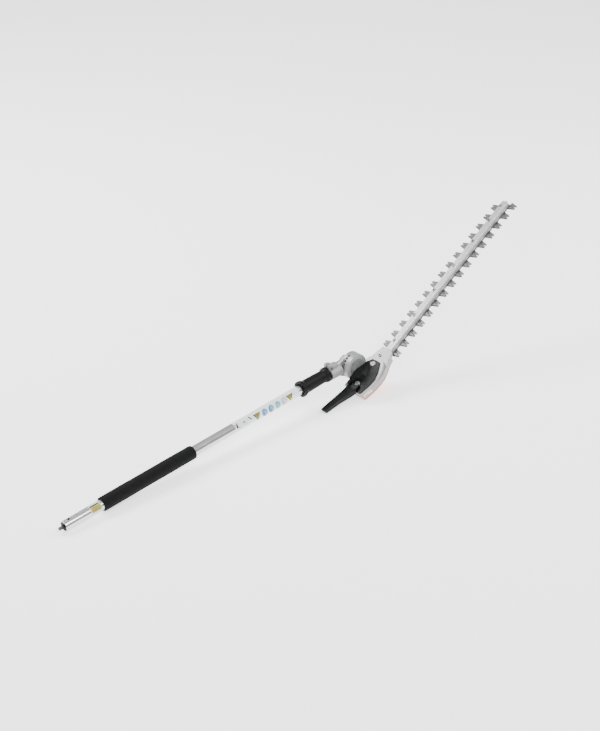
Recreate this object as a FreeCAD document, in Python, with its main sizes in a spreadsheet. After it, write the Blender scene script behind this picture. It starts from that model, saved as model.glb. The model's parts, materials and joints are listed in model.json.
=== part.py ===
import FreeCAD, Part
import math
import os

import Sketcher
from FreeCAD import Placement, Rotation, Vector

# Split-shaft hedge trimmer attachment: a drive tube with a foam grip and a lock sleeve, a folding
# knuckle, and a gearbox head with a guide bar over two reciprocating blades.
#
# Row frame: origin at the centre of the tube's coupling end, +X along the tube's heading on the floor,
# +Y to the left of it, +Z up. The tool is lying on a floor, on its tube end and its gearbox.
# Pole frame: x along the tube, y to the left, z up and square to the tube.
# Head frame: origin on the fold pivot, x along the guide bar, y to the left, z square to the blades.

DRIVING_SIZES = {
    # tube and drive shaft
    "tube_radius": 12.7, "tube_wall": 1.8, "tube_length": 836.0, "tube_tilt": 3.6,
    "shaft_radius": 4.0, "shaft_reach": 13.0, "shaft_square": 5.6, "shaft_square_length": 8.0,
    "running_gap": 0.05, "insertion_mark": 64.0,
    "grip_start": 102.0, "grip_end": 366.0, "grip_radius": 17.0,
    "rear_label_start": 67.0, "rear_label_end": 96.0,
    "side_label_start": 490.0, "side_label_end": 700.0, "label_thickness": 0.2,
    # lock sleeve
    "sleeve_start": 713.0, "sleeve_end": 804.0, "sleeve_travel": 12.0, "sleeve_radius": 17.5,
    "sleeve_flange_radius": 21.0, "lock_pin_radius": 3.0, "lock_pin_side": 17.9,
    # pole side of the knuckle
    "pivot_place": 878.3, "knuckle_radius": 34.0, "knuckle_left": 13.0, "split_right": 12.8,
    "clamp_start": 806.0, "clamp_end": 843.0,
    "ear_top": 27.0, "ear_half_width": 10.0, "ear_slot": 2.5, "clamp_screw_radius": 2.0,
    "fold_angle": 28.5, "notch_angle": 14.25,
    # head
    "split_gap": 0.4, "drum_right": 33.0, "bar_side": 53.0, "pinion_side": 25.0,
    "cover_top": 16.0, "cover_thickness": 3.0, "box_floor": 45.0, "plate_thickness": 3.0,
    "neck_top": 28.0, "neck_end": 77.0,
    # guide bar and blades
    "bar_bottom": 40.2, "bar_start": 52.0, "bar_tip": 610.0, "bar_half_width": 12.0,
    "flange_thickness": 3.6, "ridge_height": 9.4, "bar_wall": 1.6,
    "blade_thickness": 2.0, "blade_gap": 0.2, "blade_half_width": 13.0, "blade_tip": 606.0,
    "tooth_pitch": 34.0, "tooth_length": 20.0, "tooth_base": 15.0, "tooth_end": 6.0,
    "stroke": 17.0, "rest_shift": 4.25,
    "bar_screw_side": 46.0, "bar_screw_radius": 2.5,
    # gears
    "gear_module": 1.0, "mitre_teeth": 16, "head_mitre_teeth": 11, "pinion_teeth": 12,
    "crank_teeth": 44, "crank_throw": 8.5, "crank_lobe_radius": 5.5,
}

doc = FreeCAD.newDocument("HedgeTrimmer")
sheet = doc.addObject("Spreadsheet::Sheet", "Sizes")
for row, (alias, number) in enumerate(DRIVING_SIZES.items(), start=1):
    sheet.set(f"A{row}", alias)
    sheet.set(f"B{row}", str(number))
    sheet.setAlias(f"B{row}", alias)
doc.recompute()


class Size:
    """A length worked out from the sheet: its number, and the expression that gives it."""

    def __init__(self, number, text):
        self.number = number
        self.text = text

    def combine(self, other, sign, result):
        other_text = other.text if isinstance(other, Size) else str(other)
        return Size(result, f"({self.text} {sign} {other_text})")

    def __add__(self, other):
        return self.combine(other, "+", self.number + number_of(other))

    def __sub__(self, other):
        return self.combine(other, "-", self.number - number_of(other))

    def __mul__(self, other):
        return self.combine(other, "*", self.number * number_of(other))

    def __truediv__(self, other):
        return self.combine(other, "/", self.number / number_of(other))

    def __neg__(self):
        return Size(-self.number, f"(0 - {self.text})")

    def __radd__(self, other):
        return Size(other + self.number, f"({other} + {self.text})")

    def __rsub__(self, other):
        return Size(other - self.number, f"({other} - {self.text})")


def number_of(size):
    return size.number if isinstance(size, Size) else size


def of_sheet(alias):
    return Size(float(sheet.get(alias)), f"Sizes.{alias}")


S = {alias: of_sheet(alias) for alias in DRIVING_SIZES}

POLE = Placement(Vector(0, 0, 0), Rotation(Vector(0, 1, 0), -S["tube_tilt"].number))
FOLD = Placement(Vector(S["pivot_place"].number, 0, 0),
                 Rotation(Vector(0, 1, 0), -S["fold_angle"].number))
HEAD = POLE * FOLD

# Each sub-part's document object and its placement, in the order they are made.
nodes = []


def register(label, item, frame):
    item.Label = label
    item.Placement = frame
    nodes.append(item)
    return item


def bind(item, name, size):
    """Set a property from a size, by expression where the size comes from the sheet."""
    if isinstance(size, Size):
        item.setExpression(name, size.text)
    else:
        setattr(item, name, size)


# ---------------------------------------------------------------- sketches and features

def new_body(label, frame):
    body = doc.addObject("PartDesign::Body", label.replace("-", "_"))
    return register(label, body, frame)


def origin_plane(body, role):
    for feature in body.Origin.OriginFeatures:
        if feature.Role == role:
            return feature
    raise ValueError(role)


def sketch_at(body, role, height):
    """A sketch parallel to one of the body's origin planes, at a height along its normal."""
    sketch = body.newObject("Sketcher::SketchObject", f"{body.Name}_sketch")
    sketch.AttachmentSupport = [(origin_plane(body, role), "")]
    sketch.MapMode = "FlatFace"
    sketch.AttachmentOffset = Placement(Vector(0, 0, number_of(height)), Rotation())
    if isinstance(height, Size):
        sketch.setExpression("AttachmentOffset.Base.z", height.text)
    return sketch


def hold(sketch, kind, geometry, point, size):
    """Fix one coordinate of a point, by expression where its size comes from the sheet."""
    value = number_of(size)
    if abs(value) < 1e-9:
        axis = -2 if kind == "DistanceX" else -1
        sketch.addConstraint(Sketcher.Constraint("PointOnObject", geometry, point, axis))
        return
    index = sketch.addConstraint(Sketcher.Constraint(kind, geometry, point, value))
    if isinstance(size, Size):
        sketch.setExpression(f"Constraints[{index}]", size.text)


def circle(centre, radius):
    return ("circle", centre, radius)


def polygon(*points):
    return ("polygon", points)


def rectangle(low, high):
    return polygon(low, (high[0], low[1]), high, (low[0], high[1]))


def slot(centre, half_length, radius):
    return ("slot", centre, half_length, radius)


def rounded(radius, *points):
    return ("rounded", radius, points)


def draw_circle(sketch, centre, radius):
    place = Vector(number_of(centre[0]), number_of(centre[1]), 0)
    index = sketch.addGeometry(Part.Circle(place, Vector(0, 0, 1), number_of(radius)))
    hold(sketch, "DistanceX", index, 3, centre[0])
    hold(sketch, "DistanceY", index, 3, centre[1])
    constraint = sketch.addConstraint(Sketcher.Constraint("Radius", index, number_of(radius)))
    if isinstance(radius, Size):
        sketch.setExpression(f"Constraints[{constraint}]", radius.text)


def draw_polygon(sketch, points):
    places = [Vector(number_of(x), number_of(y), 0) for x, y in points]
    first = sketch.GeometryCount
    count = len(places)
    for number in range(count):
        sketch.addGeometry(Part.LineSegment(places[number], places[(number + 1) % count]))
    for number in range(count):
        following = first + (number + 1) % count
        sketch.addConstraint(Sketcher.Constraint("Coincident", first + number, 2, following, 1))
    for number, (x, y) in enumerate(points):
        hold(sketch, "DistanceX", first + number, 1, x)
        hold(sketch, "DistanceY", first + number, 1, y)


def draw_slot(sketch, centre, half_length, radius):
    """A round-ended slot along the sketch's x: two straight sides and two half circles."""
    x, y = (number_of(value) for value in centre)
    reach, bend = number_of(half_length), number_of(radius)
    quarter = math.pi / 2
    left = Part.Circle(Vector(x - reach, y, 0), Vector(0, 0, 1), bend)
    right = Part.Circle(Vector(x + reach, y, 0), Vector(0, 0, 1), bend)
    sketch.addGeometry(Part.ArcOfCircle(left, quarter, 3 * quarter))
    sketch.addGeometry(Part.LineSegment(Vector(x - reach, y - bend, 0), Vector(x + reach, y - bend, 0)))
    sketch.addGeometry(Part.ArcOfCircle(right, -quarter, quarter))
    sketch.addGeometry(Part.LineSegment(Vector(x + reach, y + bend, 0), Vector(x - reach, y + bend, 0)))


def draw_rounded(sketch, radius, points):
    """A closed outline of straight sides whose corners are all rounded to one radius."""
    places = [Vector(number_of(x), number_of(y), 0) for x, y in points]
    count = len(places)
    ends = []
    for number, corner in enumerate(places):
        to_last = (places[number - 1] - corner).normalize()
        to_next = (places[(number + 1) % count] - corner).normalize()
        half_angle = to_last.getAngle(to_next) / 2
        reach = radius / math.tan(half_angle)
        inward = (to_last + to_next).normalize()
        middle = corner + inward * (radius / math.sin(half_angle) - radius)
        start, end = corner + to_last * reach, corner + to_next * reach
        ends.append((start, end))
        sketch.addGeometry(Part.Arc(start, middle, end))
    for number in range(count):
        sketch.addGeometry(Part.LineSegment(ends[number][1], ends[(number + 1) % count][0]))


DRAW = {"circle": draw_circle, "polygon": draw_polygon, "slot": draw_slot, "rounded": draw_rounded}


def draw(sketch, loops):
    for kind, *arguments in loops:
        DRAW[kind](sketch, *arguments)


# A plane's sketch normal points along +Z for XY, -Y for XZ and +X for YZ.
FLIPPED = {"XY_Plane": False, "XZ_Plane": True, "YZ_Plane": False}


def pad(body, role, span, *loops):
    """Add the loops' area between two places along the plane's axis, the lower one first."""
    low, high = span
    start = -high if FLIPPED[role] else low
    sketch = sketch_at(body, role, start)
    draw(sketch, loops)
    feature = body.newObject("PartDesign::Pad", f"{body.Name}_pad")
    feature.Profile = sketch
    bind(feature, "Length", high - low)
    doc.recompute()
    return feature


def pocket(body, role, span, *loops):
    """Take the loops' area away between two places along the plane's axis, the lower one first."""
    before = body.Shape.Volume
    low, high = span
    start = -low if FLIPPED[role] else high
    sketch = sketch_at(body, role, start)
    draw(sketch, loops)
    feature = body.newObject("PartDesign::Pocket", f"{body.Name}_pocket")
    feature.Profile = sketch
    bind(feature, "Length", high - low)
    doc.recompute()
    if body.Shape.Volume > before - 1e-3:
        raise ValueError(f"a pocket in {body.Label} cuts nothing")
    return feature


def pattern(body, feature, role_axis, length, count):
    """Repeat a feature along one of the body's axes."""
    repeat = body.newObject("PartDesign::LinearPattern", f"{body.Name}_pattern")
    repeat.Originals = [feature]
    repeat.Direction = (origin_plane(body, role_axis), [""])
    repeat.Reversed = False
    bind(repeat, "Length", length)
    repeat.Occurrences = count
    body.Tip = repeat
    doc.recompute()
    return repeat


def soften(body, radius, wanted):
    """Round the edges of the body's shape that a test picks out, in the body's own frame."""
    shape = body.Shape.copy()
    shape.Placement = Placement()
    names = [f"Edge{number}" for number, edge in enumerate(shape.Edges, start=1) if wanted(edge)]
    if not names:
        raise ValueError(f"no edges to round in {body.Label}")
    base = body.Tip
    fillet = body.newObject("PartDesign::Fillet", f"{body.Name}_fillet")
    fillet.Base = (base, names)
    fillet.Radius = radius
    body.Tip = fillet
    doc.recompute()
    return fillet


def turned(label, frame, *profile):
    """A turned piece about the frame's x axis: the profile's points are (place along it, radius)."""
    body = new_body(label, frame)
    sketch = sketch_at(body, "XZ_Plane", 0)
    draw(sketch, [polygon(*profile)])
    feature = body.newObject("PartDesign::Revolution", f"{body.Name}_turned")
    feature.Profile = sketch
    feature.ReferenceAxis = (origin_plane(body, "X_Axis"), [""])
    feature.Angle = 360
    doc.recompute()
    return body


def tube_piece(label, frame, start, end, inner, outer):
    return turned(label, frame, (start, inner), (end, inner), (end, outer), (start, outer))


def solid_group(label, frame, shapes):
    """Identical or freely shaped pieces that share one node, as separate solids."""
    item = doc.addObject("Part::Feature", label)
    item.Shape = Part.makeCompound(shapes)
    return register(label, item, frame)


def rod(radius, start, end, axis, centre=Vector(0, 0, 0)):
    """A plain round rod along an axis, from one place on it to another."""
    return Part.makeCylinder(radius, end - start, centre + axis * start, axis)


def box(low, high):
    return Part.makeBox(high[0] - low[0], high[1] - low[1], high[2] - low[2], Vector(*low))


X, Y, Z = Vector(1, 0, 0), Vector(0, 1, 0), Vector(0, 0, 1)


# ---------------------------------------------------------------- pole: tube, shaft, grip, labels

LOCATING_HOLES = ((15.0, 3.5, True), (36.0, 3.0, False))

MARK_WIDTH = 1.0
MARK_DEPTH = 0.2


def make_drive_tube():
    inner = S["tube_radius"] - S["tube_wall"]
    body = tube_piece("drive_tube", POLE, 0, S["tube_length"], inner, S["tube_radius"])
    for place, radius, upper in LOCATING_HOLES:
        span = (0, S["tube_radius"] * 2) if upper else (-(S["tube_radius"] * 2), 0)
        pocket(body, "XY_Plane", span, circle((place, 0), radius))
    # A shallow ring shows how far the tube goes into the powerhead's coupler.
    pocket(body, "YZ_Plane", (S["insertion_mark"], S["insertion_mark"] + MARK_WIDTH),
           circle((0, 0), S["tube_radius"] + 1), circle((0, 0), S["tube_radius"] - MARK_DEPTH))


def make_drive_shaft():
    """A round shaft with a square end for the coupling."""
    square_start = -S["shaft_reach"]
    round_start = square_start + S["shaft_square_length"]
    half = S["shaft_square"] / 2
    body = new_body("drive_shaft", POLE)
    pad(body, "YZ_Plane", (round_start, S["pivot_place"] - PINION_BACK),
        circle((0, 0), S["shaft_radius"]))
    pad(body, "YZ_Plane", (square_start, round_start), rectangle((-half, -half), (half, half)))


LINER_PLACES = (1.5, 220.0, 440.0, 660.0)
LINER_LENGTHS = (7.5, 20.0, 20.0, 20.0)


def make_liner_bushes():
    outer = S["tube_radius"] - S["tube_wall"]
    for number, (place, length) in enumerate(zip(LINER_PLACES, LINER_LENGTHS), start=1):
        tube_piece(f"shaft_bush_{number}", POLE, place, place + length,
                   S["shaft_radius"] + S["running_gap"], outer)


def make_grip_and_labels():
    grip = tube_piece("foam_grip", POLE, S["grip_start"], S["grip_end"],
                      S["tube_radius"], S["grip_radius"])
    outer = S["grip_radius"].number
    soften(grip, 2.5, lambda edge: edge.Curve.TypeId == "Part::GeomCircle"
           and abs(edge.Curve.Radius - outer) < 0.01)
    skin = S["tube_radius"] + S["label_thickness"]
    tube_piece("rear_label", POLE, S["rear_label_start"], S["rear_label_end"], S["tube_radius"], skin)
    tube_piece("side_label", POLE, S["side_label_start"], S["side_label_end"], S["tube_radius"], skin)


# ---------------------------------------------------------------- lock sleeve

SLEEVE_FLANGE = 6.0
SLEEVE_NECK = 8.0
SLEEVE_NOSE_RADIUS = 16.0
SLEEVE_END_RADIUS = 19.5
SPRING_CHAMBER_RADIUS = 15.2
SPRING_CHAMBER_DEPTH = 47.0
SPRING_SEAT_PLACE = 9.0
SPRING_SEAT_WIDTH = 3.0
SPRING_WIRE_RADIUS = 0.6
SPRING_TURNS = 6
SPRING_FACETS = 20
SPRING_SIDES = 6
PIN_TIP_GAP = 0.4


def make_lock_sleeve():
    """A sleeve with a flange at each end, hollow at its rear for the return spring."""
    start, end = S["sleeve_start"], S["sleeve_end"]
    bore = S["tube_radius"] + S["running_gap"]
    chamber = start + SPRING_CHAMBER_DEPTH
    body = turned("lock_sleeve", POLE,
                  (start, SPRING_CHAMBER_RADIUS), (chamber, SPRING_CHAMBER_RADIUS), (chamber, bore),
                  (end, bore), (end, SLEEVE_END_RADIUS), (end - SLEEVE_FLANGE, SLEEVE_END_RADIUS),
                  (end - SLEEVE_FLANGE - SLEEVE_NECK, SLEEVE_NOSE_RADIUS),
                  (start + SLEEVE_FLANGE + SLEEVE_NECK, S["sleeve_radius"]),
                  (start + SLEEVE_FLANGE, S["sleeve_flange_radius"]),
                  (start, S["sleeve_flange_radius"]))
    side = S["lock_pin_side"]
    lug = S["lock_pin_radius"] + 1.6
    pad(body, "YZ_Plane", (end - SLEEVE_FLANGE, end), circle((-side, 0), lug))
    pocket(body, "YZ_Plane", (end - SLEEVE_FLANGE, end), circle((-side, 0), S["lock_pin_radius"]))


def make_lock_pin():
    side = S["lock_pin_side"]
    body = new_body("lock_pin", POLE)
    tip = S["pivot_place"] - S["knuckle_radius"] - PIN_TIP_GAP
    pad(body, "YZ_Plane", (S["sleeve_end"] - SLEEVE_FLANGE, tip),
        circle((-side, 0), S["lock_pin_radius"]))


def faceted_coil(radius, length):
    """A coil of six-sided wire about z, in short straight facets."""
    steps = SPRING_TURNS * SPRING_FACETS
    rings = []
    for step in range(steps + 1):
        turn = 2 * math.pi * step / SPRING_FACETS
        outward = Vector(math.cos(turn), math.sin(turn), 0)
        centre = outward * radius + Z * (length * step / steps)
        sides = [2 * math.pi * side / SPRING_SIDES for side in range(SPRING_SIDES)]
        rings.append([centre + (outward * math.cos(side) + Z * math.sin(side)) * SPRING_WIRE_RADIUS
                      for side in sides])
    triangles = []
    for near, far in zip(rings, rings[1:]):
        for side in range(SPRING_SIDES):
            after = (side + 1) % SPRING_SIDES
            triangles.append((near[side], near[after], far[after]))
            triangles.append((near[side], far[after], far[side]))
    faces = [Part.Face(Part.makePolygon([*corners, corners[0]])) for corners in triangles]
    faces.append(Part.Face(Part.makePolygon([*rings[0], rings[0][0]])))
    faces.append(Part.Face(Part.makePolygon([*rings[-1], rings[-1][0]])))
    shell = Part.makeShell(faces)
    shell.sewShape()
    coil = Part.makeSolid(shell)
    if coil.Volume < 0:
        coil.reverse()
    return coil


def make_return_spring():
    """A seat fixed to the tube inside the sleeve's rear end, and the spring that pushes from it."""
    seat_start = S["sleeve_start"] + SPRING_SEAT_PLACE
    seat_end = seat_start + SPRING_SEAT_WIDTH
    tube_piece("spring_seat", POLE, seat_start, seat_end, S["tube_radius"], SPRING_CHAMBER_RADIUS - 0.4)
    margin = SPRING_WIRE_RADIUS + 0.1
    start = seat_end.number + margin
    length = S["sleeve_start"].number + SPRING_CHAMBER_DEPTH - margin - start
    radius = S["tube_radius"].number + 0.3 + SPRING_WIRE_RADIUS
    wire = faceted_coil(radius, length)
    wire.rotate(Vector(0, 0, 0), Y, 90)
    wire.translate(Vector(start, 0, 0))
    solid_group("return_spring", POLE, [wire])


# ---------------------------------------------------------------- gears

ADDENDUM = 0.7
DEDENDUM = 1.1
FLANK_TAPER = math.tan(math.radians(20))
TOOTH_BACKLASH = 0.55
MITRE_FACE = 4.0
MITRE_BACKLASH = 0.5
PINION_BACK = 13.0


def spur_gear(teeth, low, high, tooth_at, bore):
    """A straight spur gear about z, with one tooth at an angle in degrees."""
    module = S["gear_module"].number
    pitch_radius = module * teeth / 2
    half_pitch = (math.pi * module / 2 - TOOTH_BACKLASH) / 2
    corners = []
    for number in range(teeth):
        middle = math.radians(tooth_at + 360 * number / teeth)
        for side, rise in ((-1, -DEDENDUM), (-1, ADDENDUM), (1, ADDENDUM), (1, -DEDENDUM)):
            radius = pitch_radius + rise * module
            half = half_pitch - rise * module * FLANK_TAPER
            angle = middle + side * half / radius
            corners.append(Vector(radius * math.cos(angle), radius * math.sin(angle), low))
    outline = Part.makePolygon(corners + corners[:1])
    gear = Part.Face(outline).extrude(Vector(0, 0, high - low))
    return gear.cut(rod(bore, low - 1, high + 1, Z)) if bore else gear


def mitre_gear(teeth, tooth_at, back, bore, addendum):
    """A 45 degree bevel gear about z, with its apex at the origin and its back towards -z.

    tooth_at is the angle of one tooth in degrees, and back is the place of its rear face.
    """
    module = S["gear_module"].number
    pitch_radius = module * teeth / 2
    cone = pitch_radius * math.sqrt(2)
    inner_scale = (cone - MITRE_FACE) / cone
    slant = 1 / math.sqrt(2)
    half_pitch = (math.pi * module / 2 - MITRE_BACKLASH) / 2

    def flank_point(rise):
        return pitch_radius + rise * slant, -pitch_radius + rise * slant

    root_radius, root_height = flank_point(-DEDENDUM)
    profile = [Vector(root_radius * scale, 0, root_height * scale) for scale in (inner_scale, 1)]
    profile += [Vector(root_radius, 0, -back), Vector(0, 0, -back), Vector(0, 0, root_height * inner_scale)]
    gear = Part.Face(Part.makePolygon(profile + profile[:1])).revolve(Vector(0, 0, 0), Z, 360)
    teeth_solids = []
    for number in range(teeth):
        section = []
        for side, rise in ((-1, -DEDENDUM - 0.2), (-1, addendum), (1, addendum), (1, -DEDENDUM - 0.2)):
            radius, height = flank_point(rise)
            half = half_pitch - rise * module * FLANK_TAPER
            section.append(Vector(radius, side * half, height))
        rings = [Part.makePolygon([corner * scale for corner in section + section[:1]])
                 for scale in (inner_scale, 1)]
        tooth = Part.makeLoft(rings, True, True)
        tooth.rotate(Vector(0, 0, 0), Z, tooth_at + 360 * number / teeth)
        teeth_solids.append(tooth)
    gear = gear.multiFuse(teeth_solids)
    return gear.cut(rod(bore, -back - 1, 1, Z)) if bore else gear


def facing(shape, axis, place):
    """Turn a gear made about z so that its +z points along an axis, and set its apex in place."""
    turned_shape = shape.copy()
    turned_shape.Placement = Placement(place, Rotation(Z, axis)) * turned_shape.Placement
    return turned_shape


TRANSFER_RADIUS = 3.0
MITRE_BACK = 10.4
HEAD_MITRE_BACK = 8.0
CLEAR_OF_MESH = -0.1


def make_mitre_pairs():
    """The pair on the pole side of the fold pivot, and the pair just past it in the head."""
    pivot = Vector(S["pivot_place"].number, 0, 0)
    teeth = int(S["mitre_teeth"].number)
    half_tooth = 180 / teeth
    pinion = facing(mitre_gear(teeth, 0, PINION_BACK, S["shaft_radius"].number, ADDENDUM), X, pivot)
    pinion = pinion.cut(rod(TRANSFER_RADIUS + 0.6, -9, 9, Y, pivot))
    solid_group("drive_pinion", POLE, [pinion])
    wheel = facing(mitre_gear(teeth, half_tooth, MITRE_BACK, TRANSFER_RADIUS, ADDENDUM), Y, pivot)
    solid_group("transfer_wheel", POLE, [wheel])

    head_teeth = int(S["head_mitre_teeth"].number)
    apex = pivot - Y * S["pinion_side"].number
    far_wheel = mitre_gear(head_teeth, 0, HEAD_MITRE_BACK, TRANSFER_RADIUS, CLEAR_OF_MESH)
    solid_group("transfer_pinion", POLE, [facing(far_wheel, -Y, apex)])
    top_wheel = mitre_gear(head_teeth, 0, HEAD_MITRE_BACK, 0, CLEAR_OF_MESH)
    return top_wheel, Vector(0, -S["pinion_side"].number, 0)


def make_transfer_shaft():
    body = new_body("transfer_shaft", POLE)
    pad(body, "XZ_Plane", (-(S["pinion_side"] - 6.4), S["knuckle_left"] - 2),
        circle((S["pivot_place"], 0), TRANSFER_RADIUS))


SPUR_TOP = -23.6
SPUR_BOTTOM = -29.6


def make_head_pinion(top_wheel, apex):
    """One piece: bevel wheel, shaft and spur pinion, standing square to the blades."""
    spur = spur_gear(int(S["pinion_teeth"].number), SPUR_BOTTOM, SPUR_TOP, -90, 0)
    spur.translate(apex)
    shaft = rod(TRANSFER_RADIUS, SPUR_BOTTOM, -HEAD_MITRE_BACK, Z, apex)
    top_wheel.translate(apex)
    solid_group("pinion_shaft", HEAD, [top_wheel.fuse(shaft).fuse(spur).removeSplitter()])


CRANK_SHAFT_RADIUS = 5.0


def make_crank():
    teeth = int(S["crank_teeth"].number)
    centre = Vector(0, -S["bar_side"].number, 0)
    half_tooth = 180 / teeth
    wheel = spur_gear(teeth, SPUR_BOTTOM, SPUR_TOP, 90 + half_tooth, CRANK_SHAFT_RADIUS)
    wheel.translate(centre)
    solid_group("crank_wheel", HEAD, [wheel])

    throw, lobe = S["crank_throw"].number, S["crank_lobe_radius"].number
    thickness, gap = S["blade_thickness"].number, S["blade_gap"].number
    upper_top = -S["bar_bottom"].number - gap
    middle = upper_top - thickness - gap / 2
    shaft = rod(CRANK_SHAFT_RADIUS, 0.3 - S["box_floor"].number - S["plate_thickness"].number,
                -S["cover_top"].number - S["cover_thickness"].number - 0.3, Z, centre)
    upper = rod(lobe, middle, upper_top + 0.4, Z, centre + X * throw)
    lower = rod(lobe, middle - thickness - 0.2, middle, Z, centre - X * throw)
    solid_group("crank_shaft", HEAD, [shaft.fuse(upper).fuse(lower).removeSplitter()])


# ---------------------------------------------------------------- pole side of the knuckle

BEARING_WIDTH = 6.0
BEARING_RADIUS = 9.0
BEARING_START = 846.0
GEAR_ROOM_RADIUS = 10.6
GEAR_ROOM_RIGHT = 10.6
GEAR_ROOM_LEFT = 9.0
BOSS_RADIUS = 12.0
BOSS_BORE = 8.0
BOSS_REACH = 3.4
TRANSFER_BUSH_RADIUS = 5.0
CASTING_CORNER = 2.0
# The clamp block and the arm, seen along the tube: (place to the left, height).
BLOCK_OUTLINE = ((-22.4, -5.5), (-22.4, 7.5), (-14.5, 15), (12.5, 15), (16, 10), (16, -10), (12, -15),
                 (-13.5, -15))
ARM_OUTLINE = ((-12.8, -9), (-12.8, 9), (-8, 14), (8, 14), (12.8, 9), (12.8, -9), (8, -14), (-8, -14))
EAR_FLAT = 9.0
EAR_LENGTH = 27.0
EAR_LOW_END = 17.0
# The knuckle is a disc beside the drum, then a cone down to the boss that carries the cover.
DISC_LEFT = -6.0
CONE_LEFT = 9.0
KNUCKLE_BOSS_RADIUS = 15.0
CLAMP_SCREW_PLACE = 6.0
CLAMP_SCREW_HEIGHT = 18.8
CLAMP_HEAD_RADIUS = 3.5
CLAMP_HEAD_LENGTH = 4.0
KNUCKLE_COVER_THICKNESS = 2.5
KNUCKLE_SCREW_CIRCLE = 11.2
KNUCKLE_SCREW_DEPTH = 3.4
KNUCKLE_SCREW_RADIUS = 1.2
KNUCKLE_SCREW_HEAD = 2.2
KNUCKLE_SCREWS = [(KNUCKLE_SCREW_CIRCLE * math.cos(math.radians(angle)),
                   KNUCKLE_SCREW_CIRCLE * math.sin(math.radians(angle))) for angle in (45, 135, 225, 315)]


def cone(body, start, end, wide, narrow):
    """Add a cone on the fold pivot, from one place to another along Y."""
    feature = body.newObject("PartDesign::AdditiveCone", f"{body.Name}_cone")
    bind(feature, "Radius1", wide)
    bind(feature, "Radius2", narrow)
    bind(feature, "Height", end - start)
    feature.Placement = Placement(Vector(S["pivot_place"].number, start, 0), Rotation(Z, Y))
    body.Tip = feature
    doc.recompute()


def make_clamp_housing():
    """One casting: a split clamp round the tube, a short arm, and the pole half of the knuckle."""
    pivot, start, end = S["pivot_place"], S["clamp_start"], S["clamp_end"]
    left = S["knuckle_left"]
    body = new_body("clamp_housing", POLE)
    pad(body, "YZ_Plane", (start, end), rounded(CASTING_CORNER, *BLOCK_OUTLINE))
    ears = pad(body, "XZ_Plane", (-S["ear_half_width"], S["ear_half_width"]),
               polygon((start, 8), (start, S["ear_top"]), (start + EAR_FLAT, S["ear_top"]),
                       (start + EAR_LENGTH, EAR_LOW_END), (start + EAR_LENGTH, 8)))
    ears.Refine = True
    pad(body, "YZ_Plane", (end - 4, pivot - 8), rounded(CASTING_CORNER, *ARM_OUTLINE))
    pad(body, "XZ_Plane", (-S["split_right"], DISC_LEFT), circle((pivot, 0), S["knuckle_radius"]))
    # A web joins the block to the disc, clear of the drum.
    pad(body, "XZ_Plane", (-S["split_right"], DISC_LEFT),
        polygon((end - 8, -14), (pivot - 20, -27), (pivot - 14, 30), (end - 8, 19)))
    cone(body, DISC_LEFT, CONE_LEFT, S["knuckle_radius"] - 0.5, KNUCKLE_BOSS_RADIUS)
    pad(body, "XZ_Plane", (CONE_LEFT - 0.5, left), circle((pivot, 0), KNUCKLE_BOSS_RADIUS))
    pad(body, "XZ_Plane", (-S["split_right"] - BOSS_REACH, -S["split_right"]),
        circle((pivot, 0), BOSS_RADIUS))
    pocket(body, "YZ_Plane", (start - 1, S["tube_length"]), circle((0, 0), S["tube_radius"]))
    pocket(body, "YZ_Plane", (S["tube_length"], pivot), circle((0, 0), BEARING_RADIUS))
    pocket(body, "XZ_Plane", (-GEAR_ROOM_RIGHT, GEAR_ROOM_LEFT), circle((pivot, 0), GEAR_ROOM_RADIUS))
    pocket(body, "XZ_Plane", (-S["split_right"], left), circle((pivot, 0), TRANSFER_BUSH_RADIUS))
    pocket(body, "XZ_Plane", (-S["split_right"] - BOSS_REACH, -S["split_right"]),
           circle((pivot, 0), BOSS_BORE))
    slot_half = S["ear_slot"] / 2
    pocket(body, "YZ_Plane", (start, start + EAR_LENGTH),
           rectangle((-slot_half, 9), (slot_half, S["ear_top"] + 1)))
    pocket(body, "XZ_Plane", (-S["ear_half_width"], S["ear_half_width"]),
           circle((start + CLAMP_SCREW_PLACE, CLAMP_SCREW_HEIGHT), S["clamp_screw_radius"]))
    # Flats for the screw's head and nut, where they stand lower than the block's top.
    for near, far in ((-S["ear_half_width"] - 12.5, -S["ear_half_width"]),
                      (S["ear_half_width"], S["ear_half_width"] + 6.1)):
        pocket(body, "XZ_Plane", (near, far),
               circle((start + CLAMP_SCREW_PLACE, CLAMP_SCREW_HEIGHT), CLAMP_HEAD_RADIUS + 0.8))
    pocket(body, "YZ_Plane", (start - 1, end),
           circle((-S["lock_pin_side"], 0), S["lock_pin_radius"] + S["running_gap"]))
    for x, z in KNUCKLE_SCREWS:
        pocket(body, "XZ_Plane", (left - KNUCKLE_SCREW_DEPTH, left),
               circle((pivot + x, z), KNUCKLE_SCREW_RADIUS))


def make_clamp_screw():
    """A socket-head screw across the clamp's ears, and its nut."""
    place = Vector(S["clamp_start"].number + CLAMP_SCREW_PLACE, 0, CLAMP_SCREW_HEIGHT)
    half = S["ear_half_width"].number
    shank = rod(S["clamp_screw_radius"].number, -half, half + 4, Y, place)
    head = rod(CLAMP_HEAD_RADIUS, -half - CLAMP_HEAD_LENGTH, -half, Y, place)
    socket = rod(1.8, -half - CLAMP_HEAD_LENGTH - 1, -half - 2, Y, place)
    solid_group("clamp_screw", POLE, [shank.fuse(head).cut(socket)])
    nut = hexagon(CLAMP_HEAD_RADIUS, 3.5).cut(rod(S["clamp_screw_radius"].number, -1, 5, Z))
    solid_group("clamp_nut", POLE, [facing(nut, Y, place + Y * half)])


def hexagon(radius, height):
    corners = [Vector(radius * math.cos(math.radians(angle)), radius * math.sin(math.radians(angle)), 0)
               for angle in range(0, 361, 60)]
    return Part.Face(Part.makePolygon(corners)).extrude(Vector(0, 0, height))


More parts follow.
